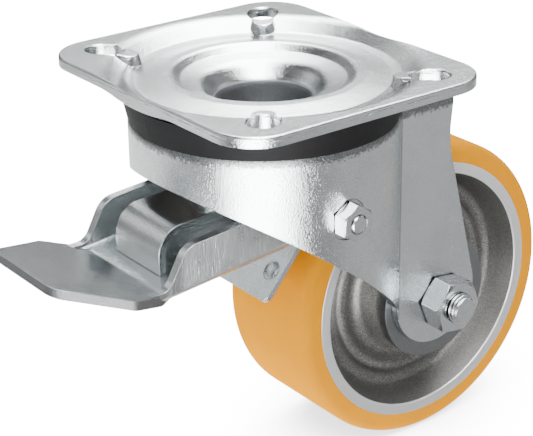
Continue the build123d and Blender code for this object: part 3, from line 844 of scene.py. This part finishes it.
# Brightness of a soft box, where a pale wall is between one and two
soft_box = 20.0

# What shiny pieces mirror in the floor, by bearing in degrees from the viewer to the right
floor_bearings = [
    (-180, 2.2),
    (-130, 1.9),
    (-85, 1.7),
    (-68, 0.6),
    (-56, 0.05),
    (-27, 0.05),
    (-24, soft_box),
    (16, soft_box),
    (22, 0.25),
    (50, 0.4),
    (72, 0.62),
    (125, 0.62),
    (150, 1.6),
    (180, 2.2),
]
# Distances from the swivel axis over which that soft box starts, and over which the table ends
box_start = (0.10, 0.13)
table_edge = (0.38, 0.50)
# Brightest that the floor is mirrored before the soft box starts
near_limit = 2.0

# Across the ceiling from left to right: pale wall, flag, soft box, flag, pale wall
ceiling = [
    (0.0, 0.5),
    (0.2, 0.2),
    (0.41, 0.12),
    (0.43, soft_box),
    (0.70, soft_box),
    (0.72, 0.12),
    (1.0, 0.3),
]
# Walls from behind the castor to the viewer, and the share of that from left to right
wall_depth = [(0.0, 1.85), (0.3, 1.6), (0.45, 0.8), (0.6, 0.5), (1.0, 1.2)]
wall_breadth = [
    (0.0, 1.0),
    (0.12, 1.0),
    (0.2, 0.1),
    (0.28, 0.1),
    (0.33, 1.0),
    (0.66, 1.0),
    (0.72, 0.1),
    (0.88, 0.15),
    (0.93, 1.2),
    (1.0, 1.2),
]
# Share of the studio's light that falls on matt pieces
matt_share = 0.25


def light_axes(stage):
    """Level directions that the studio light is arranged about: towards the viewer, and to the right."""
    heading = math.radians(stage.light_heading)
    return (math.sin(heading), -math.cos(heading), 0.0), (math.cos(heading), math.sin(heading), 0.0)


class CASTOR_OT_stage(bpy.types.Operator):
    """Pale floor, soft light and the camera"""

    bl_idname = "castor.stage"
    bl_label = "Set the stage"

    def execute(self, context):
        stage = context.scene.castor_stage
        self.make_floor(context, stage)
        self.make_sky(context, stage)
        self.make_key(context, stage)
        self.make_camera(context, stage)
        return {"FINISHED"}

    def make_floor(self, context, stage):
        """Pale table, white to the eye but for a painted contact shadow, in which shiny pieces mirror a
        studio's soft box and flags.
        """
        material, tree = empty_material("Floor")
        material.cycles.emission_sampling = "NONE"
        place = tree.add("ShaderNodeTexCoord").outputs["Object"]
        toward, aside = light_axes(stage)
        forward, right = tree.along(place, toward), tree.along(place, aside)
        reach = tree.reach(forward, right)
        pattern = tree.profile_around(forward, right, floor_bearings)
        near = tree.blend(tree.ramp(reach, *box_start), tree.math("MINIMUM", pattern, near_limit), pattern)
        # Past the table only the soft box goes on, and the rest is a plain floor, darker at the back
        plain = tree.ramp(forward, -0.4, 0.2, 0.25, 0.8)
        far = tree.blend(tree.ramp(pattern, 4.0, 16.0), plain, pattern)
        mirrored = tree.blend(tree.ramp(reach, *table_edge), near, far)
        # Matt pieces get an even wash of light instead, stronger on the left
        wash = tree.ramp(right, -0.08, 0.2, 2.8, 1.3)
        # Painted contact shadow: the floor that the camera sees is dimmer where the castor stands near
        shade = tree.add("ShaderNodeAmbientOcclusion", {"samples": 8}, Distance=contact_shadow).outputs["AO"]
        floor_with_painted_shadow = tree.ramp(shade, 0.2, 0.95, 2.5, stage.backdrop)
        path = tree.add("ShaderNodeLightPath").outputs
        strength = tree.blend(path["Is Camera Ray"], tree.blend(path["Is Glossy Ray"], wash, mirrored), floor_with_painted_shadow)
        glow = tree.add("ShaderNodeEmission", Strength=strength)
        tree.add("ShaderNodeOutputMaterial", Surface=glow.outputs[0])
        mesh = bpy.data.meshes.new("Floor")
        signs = ((-1, -1), (1, -1), (1, 1), (-1, 1))
        corners = [(x * floor_half, y * floor_half, floor_height) for x, y in signs]
        mesh.from_pydata(corners, [], [(0, 1, 2, 3)])
        mesh.materials.append(material)
        floor = bpy.data.objects.new("floor", mesh)
        context.collection.objects.link(floor)

    def make_sky(self, context, stage):
        """Long soft box overhead between dark flags, and walls that are palest behind the castor."""
        world = bpy.data.worlds.new("Studio")
        context.scene.world = world
        world.use_nodes = True
        world.cycles.sampling_method = "NONE"
        tree = Tree(world.node_tree)
        way = tree.add("ShaderNodeTexCoord").outputs["Generated"]
        toward, aside = light_axes(stage)
        forward, right = tree.along(way, toward), tree.along(way, aside)
        up = tree.split(way)[2]
        walls = tree.times(tree.profile_across(forward, wall_depth), tree.profile_across(right, wall_breadth))
        # The foot of the walls is dark behind the castor
        dusk = tree.times(walls, tree.ramp(forward, -0.5, 0.2, 0.08, 0.8))
        walls = tree.blend(tree.ramp(up, 0.16, 0.37), dusk, walls)
        studio = tree.blend(tree.ramp(up, 0.62, 0.7), walls, tree.profile_across(right, ceiling))
        studio = tree.times(studio, stage.sky)
        path = tree.add("ShaderNodeLightPath").outputs
        soft = tree.blend(path["Is Diffuse Ray"], studio, tree.times(studio, matt_share))
        glow = world.node_tree.nodes["Background"]
        tree.feed(glow.inputs["Color"], (1, 1, 1, 1))
        tree.feed(glow.inputs["Strength"], tree.blend(path["Is Camera Ray"], soft, stage.backdrop))

    def make_key(self, context, stage):
        """Soft square light that faces the castor, and that nothing shiny mirrors."""
        data = bpy.data.lights.new("Key", "AREA")
        data.size = key_size
        data.energy = stage.key
        light = bpy.data.objects.new("Key", data)
        light.location = key_place
        middle = (cad_box[0] + cad_box[1]) / 2
        light.rotation_euler = (middle - key_place).to_track_quat("-Z", "Y").to_euler()
        light.visible_glossy = False
        context.collection.objects.link(light)

    def make_camera(self, context, stage):
        """Camera whose picture puts the swivel origin at its pixel."""
        azimuth, elevation, roll = (math.radians(x) for x in (stage.azimuth, stage.elevation, stage.roll))
        level = Vector((math.cos(azimuth), math.sin(azimuth), 0))
        flat_back = Vector((math.sin(azimuth), -math.cos(azimuth), 0))
        back = math.cos(elevation) * flat_back + Vector((0, 0, math.sin(elevation)))
        right = math.cos(roll) * level + math.sin(roll) * back.cross(level)
        up = back.cross(right)
        data = bpy.data.cameras.new("Camera")
        data.sensor_width = sensor_width
        data.lens = stage.lens
        data.clip_start = 0.01
        camera = bpy.data.objects.new("Camera", data)
        # Shift of the camera that moves the origin from the picture's middle to its pixel
        pixel = stage.distance * sensor_width / stage.lens / stage.picture_width
        aside = (stage.picture_width / 2 - stage.origin_u) * pixel
        above = (stage.origin_v - stage.picture_height / 2) * pixel
        place = back * stage.distance + right * aside + up * above
        axes = Matrix((right, up, back)).transposed()
        camera.matrix_world = Matrix.Translation(place) @ axes.to_4x4()
        context.collection.objects.link(camera)
        context.scene.camera = camera


# ---------------------------------------------------------------- panel and run


class CASTOR_PT_panel(bpy.types.Panel):
    """Lists the castor's steps"""

    bl_idname = "CASTOR_PT_panel"
    bl_label = "Castor"
    bl_space_type = "VIEW_3D"
    bl_region_type = "UI"
    bl_category = "Castor"

    def draw(self, context):
        for group in ("castor_colours", "castor_sizes", "castor_stage"):
            values = getattr(context.scene, group)
            for name in values.bl_rna.properties.keys():
                if name not in ("name", "rna_type"):
                    self.layout.prop(values, name)
        for operator in operators:
            self.layout.operator(operator.bl_idname)


operators = (CASTOR_OT_pressings, CASTOR_OT_hardware, CASTOR_OT_bearings, CASTOR_OT_wheel, CASTOR_OT_stage)
groups = {"castor_colours": CastorColours, "castor_sizes": CastorSizes, "castor_stage": CastorStage}
classes = (*groups.values(), *operators, CASTOR_PT_panel)


def register():
    for item in classes:
        bpy.utils.register_class(item)
    for name, group in groups.items():
        setattr(bpy.types.Scene, name, PointerProperty(type=group))


def unregister():
    for name in groups:
        delattr(bpy.types.Scene, name)
    for item in reversed(classes):
        bpy.utils.unregister_class(item)


def main():
    register()
    for operator in operators:
        step = operator.bl_idname.split(".")[1]
        getattr(bpy.ops.castor, step)()


if __name__ == "__main__":
    main()
